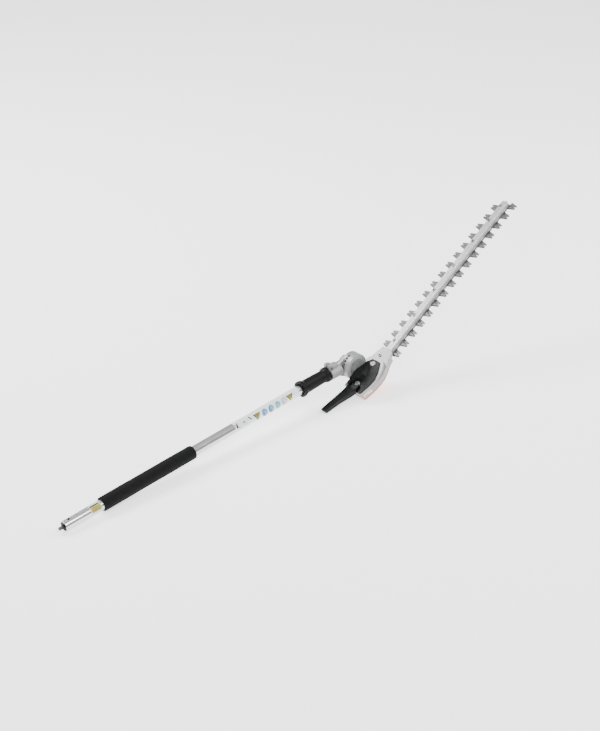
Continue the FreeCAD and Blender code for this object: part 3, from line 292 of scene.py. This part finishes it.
INKS = {
    "yellow": printed_film("ink_yellow", (0.36, 0.34, 0.008)),
    "green": printed_film("ink_green", (0.30, 0.42, 0.06)),
    "black": printed_film("ink_black", (0.008, 0.008, 0.009)),
    "blue": printed_film("ink_blue", (0.035, 0.17, 0.32)),
    "pale_blue": printed_film("ink_pale_blue", (0.18, 0.45, 0.66)),
    "teal": printed_film("ink_teal", (0.13, 0.40, 0.42)),
    "lavender": printed_film("ink_lavender", (0.36, 0.38, 0.58)),
    "orange": printed_film("ink_orange", (0.80, 0.33, 0.06)),
    "brown": printed_film("ink_brown", (0.22, 0.08, 0.03)),
    "red": printed_film("ink_red", (0.66, 0.07, 0.05)),
    "cream": printed_film("ink_cream", (0.78, 0.76, 0.62)),
}


def finish_cad_nodes():
    slots = {part["node"]: part["material_slot"] for part in frame["record"]["subparts"]}
    for node, item in frame["nodes"].items():
        for slot in item.material_slots:
            slot.material = FINISHES[slots[node]]


# ---------------------------------------------------------------- pieces

def add_piece(name, mesh, finish, body, replaced=()):
    """Put a mesh that is already in the row frame into the scene, riding on a body."""
    item = bpy.data.objects.new(name, mesh)
    bpy.context.scene.collection.objects.link(item)
    mesh.materials.clear()
    mesh.materials.append(finish)
    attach(item, body)
    if replaced:
        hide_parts(*replaced)
    return item


def mesh_from(shape, name, matrix, smooth_angle=35):
    """Turn a bmesh in a frame's millimetres into a mesh in the row frame, smooth up to an angle."""
    bmesh.ops.recalc_face_normals(shape, faces=shape.faces)
    for edge in shape.edges:
        edge.smooth = len(edge.link_faces) == 2 and edge.calc_face_angle(0) < math.radians(smooth_angle)
    for face in shape.faces:
        face.smooth = True
    mesh = bpy.data.meshes.new(name)
    shape.to_mesh(mesh)
    shape.free()
    mesh.transform(matrix)
    return mesh


def lathe(profile, axis_place=(0, 0, 0), steps=64, ripple=None):
    """Turn a closed profile of (x, radius) points about a line along x."""
    shape = bmesh.new()
    rings = []
    for step in range(steps):
        angle = 2 * math.pi * step / steps
        ring = []
        for x, radius in profile:
            if ripple:
                radius += ripple(x, angle)
            ring.append(shape.verts.new((axis_place[0] + x, axis_place[1] + radius * math.cos(angle),
                                         axis_place[2] + radius * math.sin(angle))))
        rings.append(ring)
    count = len(profile)
    for step in range(steps):
        ring, following = rings[step], rings[(step + 1) % steps]
        for number in range(count):
            after = (number + 1) % count
            shape.faces.new((ring[number], ring[after], following[after], following[number]))
    return shape


def cad_copy(node):
    """A bmesh of a CAD node, in the row frame, with its split vertices joined again."""
    shape = bmesh.new()
    shape.from_mesh(frame["nodes"][node].data)
    bmesh.ops.remove_doubles(shape, verts=shape.verts, dist=1e-6)
    return shape


SKIN_ALLOWANCE = 0.12


def softened_copy(node, name, body, voxel, rounds, finish):
    """A casting or moulding: the CAD shape with every edge rounded by remeshing and smoothing."""
    mesh = bpy.data.meshes.new(f"{name}_raw")
    shape = cad_copy(node)
    shape.to_mesh(mesh)
    shape.free()
    raw = bpy.data.objects.new(f"{name}_raw", mesh)
    bpy.context.scene.collection.objects.link(raw)
    remesh = raw.modifiers.new("remesh", "REMESH")
    remesh.mode = "VOXEL"
    remesh.voxel_size = voxel * MM
    smooth = raw.modifiers.new("smooth", "SMOOTH")
    smooth.factor = 0.5
    smooth.iterations = rounds
    graph = bpy.context.evaluated_depsgraph_get()
    result = bpy.data.meshes.new_from_object(raw.evaluated_get(graph))
    bpy.data.objects.remove(raw)
    # Rounding swells inner corners a little, so the skin is drawn in to keep the running gaps.
    directions = [corner.normal.copy() for corner in result.vertices]
    for corner, direction in zip(result.vertices, directions):
        corner.co -= direction * (SKIN_ALLOWANCE * MM)
    for face in result.polygons:
        face.use_smooth = True
    return add_piece(name, result, finish, body, (node,))


# ---------------------------------------------------------------- foam grip

GRIP_START, GRIP_END, GRIP_RADIUS = 102.0, 366.0, 17.0
GRIP_BORE = TUBE_RADIUS + 0.02


def make_grip():
    """A foam sleeve with rolled ends, slightly uneven like hand-pushed foam."""
    roll = 2.6
    outline = [(GRIP_START, GRIP_BORE), (GRIP_START, GRIP_RADIUS - roll)]
    turns = 6
    for step in range(1, turns + 1):
        angle = math.pi / 2 * step / turns
        outline.append((GRIP_START + roll - roll * math.cos(angle),
                        GRIP_RADIUS - roll + roll * math.sin(angle)))
    steps = 44
    for step in range(1, steps):
        outline.append((GRIP_START + roll + (GRIP_END - GRIP_START - 2 * roll) * step / steps, GRIP_RADIUS))
    for step in range(turns + 1):
        angle = math.pi / 2 * (1 - step / turns)
        outline.append((GRIP_END - roll + roll * math.cos(angle),
                        GRIP_RADIUS - roll + roll * math.sin(angle)))
    outline.append((GRIP_END, GRIP_BORE))

    def ripple(x, angle):
        wave = math.sin(x * 0.045 + 1.3) * 0.10 + math.sin(x * 0.11 + 2 * angle) * 0.05 - 0.15
        return wave if GRIP_START + 1 < x < GRIP_END - 1 else 0.0

    mesh = mesh_from(lathe(outline, ripple=ripple), "grip_foam_mesh", POLE)
    grip = add_piece("grip_foam", mesh, FINISHES["black_foam"], "pole", ("foam_grip",))


# ---------------------------------------------------------------- blades

BAR_SIDE = -53.0
STRIP_HALF_WIDTH = 13.0
BLADE_LEVELS = {"upper_blade": (-40.4, -42.4, -4.25), "lower_blade": (-42.6, -44.6, 4.25)}
TOOTH_PITCH = 34.0
FIRST_TOOTH = {-1: 95.25, 1: 109.25}
GROUND_WIDTH = 2.4
TIP_GROUND = 1.4


def make_blade(node):
    """Grind the teeth's flanks: the outer face's corners draw in and leave a bevel."""
    top, bottom, shift = BLADE_LEVELS[node]
    ground_level = top if node == "upper_blade" else bottom
    shape = cad_copy(node)
    bmesh.ops.transform(shape, matrix=HEAD.inverted(), verts=shape.verts)
    for corner in shape.verts:
        side = corner.co.y - BAR_SIDE
        if abs(corner.co.z - ground_level) > 0.05 or abs(side) < STRIP_HALF_WIDTH - 0.05:
            continue
        direction = 1 if side > 0 else -1
        place = corner.co.x - shift - FIRST_TOOTH[direction]
        middle = round(place / TOOTH_PITCH) * TOOTH_PITCH
        offset = place - middle
        if abs(offset) > 8:
            continue
        inset = GROUND_WIDTH if abs(side) < STRIP_HALF_WIDTH + 0.1 else GROUND_WIDTH * 0.8
        corner.co.x -= math.copysign(min(inset, abs(offset) - 0.3), offset)
        if abs(side) > STRIP_HALF_WIDTH + 15:
            corner.co.y -= direction * TIP_GROUND
    mesh = mesh_from(shape, f"{node}_ground_mesh", HEAD, 20)
    blade = add_piece(f"{node}_ground", mesh, FINISHES["blade_steel"], node, (node,))


# ---------------------------------------------------------------- screws

def pan_head(shape, centre, radius, height, recess, sides=6):
    """A pan-head screw's head about z, with a recess in its top, standing on centre."""
    steps = 36
    levels = [(radius, 0.0), (radius, height * 0.55), (radius * 0.93, height * 0.82),
              (radius * 0.78, height), (recess * 1.12, height)]
    rings = []
    for ring_radius, rise in levels:
        rings.append([shape.verts.new(centre + Vector((ring_radius * math.cos(2 * math.pi * step / steps),
                                                      ring_radius * math.sin(2 * math.pi * step / steps),
                                                      rise))) for step in range(steps)])
    for drop in (0.25, height * 0.75):
        ring = []
        for step in range(steps):
            angle = 2 * math.pi * step / steps
            sector = math.pi / sides
            reach = recess * math.cos(sector) / math.cos((angle + sector) % (2 * sector) - sector)
            ring.append(shape.verts.new(centre + Vector((reach * math.cos(angle), reach * math.sin(angle),
                                                         height - drop))))
        rings.append(ring)
    for lower, upper in zip(rings, rings[1:]):
        for step in range(steps):
            after = (step + 1) % steps
            shape.faces.new((lower[step], lower[after], upper[after], upper[step]))
    shape.faces.new(rings[-1])
    shape.faces.new(list(reversed(rings[0])))


def shank(shape, centre, radius, low, high):
    steps = 24
    ends = [[shape.verts.new(centre + Vector((radius * math.cos(2 * math.pi * step / steps),
                                             radius * math.sin(2 * math.pi * step / steps), rise)))
             for step in range(steps)] for rise in (low, high)]
    for step in range(steps):
        after = (step + 1) % steps
        shape.faces.new((ends[0][step], ends[0][after], ends[1][after], ends[1][step]))
    shape.faces.new(list(reversed(ends[0])))
    shape.faces.new(ends[1])


BAR_SCREW_PLACES = [123.0 + 86.0 * number for number in range(5)] + [541.0, 593.0]
BAR_SCREW_SIDE = -46.0
FLANGE_TOP = -36.6
NECK_TOP = -28.0
COVER_SCREW_PLACES = ((33.0, -55.0), (-33.0, -55.0))
COVER_TOP = -16.0


def make_screws():
    shape = bmesh.new()
    for place in BAR_SCREW_PLACES:
        centre = Vector((place, BAR_SCREW_SIDE, FLANGE_TOP))
        pan_head(shape, centre, 4.5, 2.5, 1.9)
        shank(shape, centre, 2.45, -14.0, -0.01)
    screws = add_piece("bar_screw_set", mesh_from(shape, "bar_screw_mesh", HEAD),
                       FINISHES["zinc_steel"], "head", ("bar_screws",))
    shape = bmesh.new()
    pan_head(shape, Vector((66.0, BAR_SCREW_SIDE, NECK_TOP)), 4.6, 3.0, 2.0)
    shank(shape, Vector((66.0, BAR_SCREW_SIDE, NECK_TOP)), 2.45, -12.0, -0.01)
    neck = add_piece("neck_screw_detailed", mesh_from(shape, "neck_screw_mesh", HEAD),
                     FINISHES["zinc_steel"], "head", ("neck_screw",))
    shape = bmesh.new()
    for x, y in COVER_SCREW_PLACES:
        pan_head(shape, Vector((x, y, COVER_TOP)), 7.4, 2.4, 2.3)
        shank(shape, Vector((x, y, COVER_TOP)), 1.95, -5.9, -0.01)
    cover = add_piece("cover_screw_set", mesh_from(shape, "cover_screw_mesh", HEAD),
                      FINISHES["zinc_steel"], "head", ("cover_screws",))


# ---------------------------------------------------------------- labels

FACING = math.radians(41)
FILM_TOP = TUBE_RADIUS + 0.2
# A patch is cut into strips this high, so that its facets follow the tube.
STRIP_HEIGHT = 0.9


def wrapped_patch(name, outline, ink, lift=0.05):
    """A flat outline of (along, round) points in millimetres, wrapped onto the tube's label.

    Round is the arc length up from the line of the tube that faces forward to the right.
    """
    shape = bmesh.new()
    corners = [shape.verts.new((x, s, 0)) for x, s in outline]
    shape.faces.new(corners)
    rounds = [s for _, s in outline]
    cut = min(rounds) + STRIP_HEIGHT
    while cut < max(rounds):
        whole = list(shape.verts) + list(shape.edges) + list(shape.faces)
        bmesh.ops.bisect_plane(shape, geom=whole, plane_co=(0, cut, 0), plane_no=(0, 1, 0))
        cut += STRIP_HEIGHT
    radius = FILM_TOP + lift
    for corner in shape.verts:
        angle = FACING + corner.co.y / radius
        corner.co = Vector((corner.co.x, -radius * math.cos(angle), radius * math.sin(angle)))
    patch = add_piece(name, mesh_from(shape, f"{name}_mesh", POLE, 60), INKS[ink], "pole")


def disc_outline(x, s, radius, height=1.0, steps=36):
    return [(x + radius * math.cos(2 * math.pi * step / steps),
             s + radius * height * math.sin(2 * math.pi * step / steps))
            for step in range(steps)]


def triangle_outline(x, s, size):
    """An equilateral triangle with one corner towards the floor."""
    return [(x + size * math.cos(math.radians(angle)), s + size * math.sin(math.radians(angle)))
            for angle in (30, 150, 270)]


def box_outline(low, high):
    return [low, (high[0], low[1]), high, (low[0], high[1])]


DISC_PLACES = (584.0, 605.0, 627.0, 648.0)
DISC_SIDE = -5.5
DISC_HEIGHT = 1.3
DISC_INKS = (("blue", "pale_blue"), ("blue", "pale_blue"), ("teal", "pale_blue"), ("lavender", "cream"))
TRIANGLE_PLACES = (560.0, 668.0)
TRIANGLE_SIDE = -2.5
TRIANGLE_BORDER, TRIANGLE_FIELD = 12.4, 7.8


def make_side_label():
    """A white film with plain discs and triangles, and small tick marks, with no lettering."""
    for number, place in enumerate(TRIANGLE_PLACES, start=1):
        wrapped_patch(f"triangle_{number}_border", triangle_outline(place, TRIANGLE_SIDE, TRIANGLE_BORDER),
                      "black", 0.04)
        wrapped_patch(f"triangle_{number}_field", triangle_outline(place, TRIANGLE_SIDE, TRIANGLE_FIELD),
                      "yellow", 0.08)
        wrapped_patch(f"triangle_{number}_mark", box_outline((place - 0.8, -4.5), (place + 0.8, 1.0)),
                      "black", 0.12)
    for number, (place, (ring, field)) in enumerate(zip(DISC_PLACES, DISC_INKS), start=1):
        wrapped_patch(f"disc_{number}_ring", disc_outline(place, DISC_SIDE, 8.0, DISC_HEIGHT), ring, 0.04)
        wrapped_patch(f"disc_{number}_field", disc_outline(place + 0.6, DISC_SIDE + 1.2, 5.2, DISC_HEIGHT),
                      field, 0.08)
        wrapped_patch(f"disc_{number}_mark", disc_outline(place - 1.5, DISC_SIDE - 2.0, 2.6, DISC_HEIGHT),
                      ring, 0.12)
    wrapped_patch("tick_slant", [(534, 5.5), (537.5, 6.5), (543, -2.5), (540, -3.5)], "black")
    wrapped_patch("tick_loop", disc_outline(519, 0.5, 3.2), "lavender")
    wrapped_patch("tick_loop_core", disc_outline(520.5, 0.0, 1.5), "black", 0.08)
    wrapped_patch("tick_line", box_outline((508, -7.3), (529, -6.3)), "lavender")
    wrapped_patch("cross_down", [(490, 5.0), (491.8, 5.8), (505, -7.6), (503.4, -8.4)], "black")
    wrapped_patch("cross_up", [(493, -5), (497.2, -6), (501.0, 7.0), (498, 7.6)], "black", 0.08)


def make_rear_label():
    """A small rating label: a yellow field between a black and an orange edge."""
    wrapped_patch("rear_yellow", box_outline((71, -6.5), (94, 5.5)), "yellow", 0.04)
    wrapped_patch("rear_black", box_outline((68.5, 6.4), (93, 10.0)), "black", 0.04)
    wrapped_patch("rear_orange", box_outline((68.2, -4.5), (70.6, 5.5)), "orange", 0.04)
    wrapped_patch("rear_brown", box_outline((71.2, -8.4), (73.2, -3.0)), "brown", 0.08)
    for number in range(4):
        start = 77 + 4.2 * number
        wrapped_patch(f"rear_mark_{number + 1}", box_outline((start, -7.6), (start + 2.6, -5.4)), "black",
                      0.08)
    for number in range(3):
        start = 75 + 5.5 * number
        wrapped_patch(f"rear_line_{number + 1}", box_outline((start, 1.8), (start + 4.2, 2.5)), "brown",
                      0.08)


def make_side_stickers():
    """Plain coloured blocks on the gearbox's right wall."""
    panels = (
        ("sticker_cream", ((-49.0, -83.0), (-24.5, -88.9)), (-41.5, -29.0), "cream", 0.00),
        ("sticker_blue", ((-33.0, -86.85), (-26.0, -88.54)), (-33.5, -30.5), "pale_blue", 0.06),
        ("sticker_red", ((-47.5, -83.35), (-27.0, -88.3)), (-40.6, -38.4), "red", 0.06),
        ("sticker_black", ((-47.5, -83.35), (-36.0, -86.1)), (-36.6, -34.6), "black", 0.06),
        ("sticker_green", ((45.0, -83.25), (57.0, -79.25)), (-41.0, -30.5), "green", 0.00),
    )
    for name, ((x0, y0), (x1, y1)), (low, high), ink, lift in panels:
        outward = Vector((y1 - y0, x0 - x1, 0)).normalized()
        if outward.y > 0:
            outward = -outward
        shape = bmesh.new()
        corners = [Vector((x0, y0, low)), Vector((x1, y1, low)),
                   Vector((x1, y1, high)), Vector((x0, y0, high))]
        shape.faces.new([shape.verts.new(corner + outward * (0.1 + lift)) for corner in corners])
        patch = add_piece(name, mesh_from(shape, f"{name}_mesh", HEAD), INKS[ink], "head")


# ---------------------------------------------------------------- stage

FLOOR_GLOW = 1.5
SKY_LEVELS = ((0.0, 1.0), (0.18, 0.55), (0.45, 0.50), (0.75, 0.8), (1.0, 0.9))


def make_stage():
    floor_mesh = bpy.data.meshes.new("floor")
    reach = 14.0
    height = FLOOR_HEIGHT - 0.0002
    floor_mesh.from_pydata([(-reach, -reach, height), (reach, -reach, height), (reach, reach, height),
                            (-reach, reach, height)], [], [(0, 1, 2, 3)])
    floor = bpy.data.objects.new("floor", floor_mesh)
    bpy.context.scene.collection.objects.link(floor)
    finish = Finish("floor_paper", (0.93, 0.93, 0.935), 0.85)
    finish.shader.inputs["Emission Color"].default_value = (1, 1, 1, 1)
    finish.shader.inputs["Emission Strength"].default_value = FLOOR_GLOW
    finish.shade(finish.noise(finish.coordinates(), 1.5), 0.995, 1.0)
    floor_mesh.materials.append(finish.material)

    world = bpy.data.worlds.new("studio")
    world.use_nodes = True
    background = world.node_tree.nodes["Background"]
    background.inputs["Strength"].default_value = 1.0
    # A soft dome: bright overhead, darker towards the horizon.
    nodes = world.node_tree.nodes
    links = world.node_tree.links
    split = nodes.new("ShaderNodeSeparateXYZ")
    links.new(nodes.new("ShaderNodeTexCoord").outputs["Generated"], split.inputs["Vector"])
    ramp = nodes.new("ShaderNodeValToRGB")
    while len(ramp.color_ramp.elements) < len(SKY_LEVELS):
        ramp.color_ramp.elements.new(0.5)
    for element, (place, level) in zip(ramp.color_ramp.elements, SKY_LEVELS):
        element.position = place
        element.color = (level * 0.98, level * 0.99, level, 1)
    links.new(split.outputs["Z"], ramp.inputs["Fac"])
    links.new(ramp.outputs["Color"], background.inputs["Color"])
    bpy.context.scene.world = world

    for name, place, aim, size, power in (
            ("key", (0.1, 2.2, 2.6), (0.75, -0.05, 0), 1.4, 150.0),
            ("front", (0.9, -2.2, 3.0), (0.7, 0, 0), 1.3, 60.0),
            ("tip", (2.9, -0.8, 2.0), (1.1, 0, 0.2), 1.2, 40.0)):
        data = bpy.data.lights.new(name, "AREA")
        data.size = size
        data.energy = power
        light = bpy.data.objects.new(name, data)
        light.location = place
        light.rotation_euler = (Vector(aim) - Vector(place)).to_track_quat("-Z", "Y").to_euler()
        bpy.context.scene.collection.objects.link(light)


CAMERA_PLACE = (-1.28165, -2.06666, 1.80941)
CAMERA_FORWARD = (0.5976, 0.6199, -0.5086)
FOCAL_LENGTH = 82.2


def make_camera():
    data = bpy.data.cameras.new("camera")
    data.sensor_fit = "HORIZONTAL"
    data.sensor_width = 36.0
    data.lens = FOCAL_LENGTH
    data.clip_end = 60
    camera = bpy.data.objects.new("camera", data)
    camera.location = CAMERA_PLACE
    camera.rotation_euler = Vector(CAMERA_FORWARD).to_track_quat("-Z", "Y").to_euler()
    bpy.context.scene.collection.objects.link(camera)
    bpy.context.scene.camera = camera


make_camera()
make_stage()
finish_cad_nodes()
make_grip()
make_blade("upper_blade")
make_blade("lower_blade")
make_screws()
make_side_label()
make_rear_label()
make_side_stickers()
for piece, slot in ((softened_copy("head_housing", "head_casting", "head", 0.45, 3,
                                   FINISHES["cast_aluminium"]), "cast_aluminium"),
                    (softened_copy("clamp_housing", "clamp_casting", "pole", 0.45, 3,
                                   FINISHES["cast_aluminium"]), "cast_aluminium"),
                    (softened_copy("gearbox_cover", "cover_moulding", "head", 0.4, 3,
                                   FINISHES["black_plastic"]), "black_plastic"),
                    (softened_copy("swing_lever", "lever_moulding", "head", 0.5, 6,
                                   FINISHES["black_plastic"]), "black_plastic")):
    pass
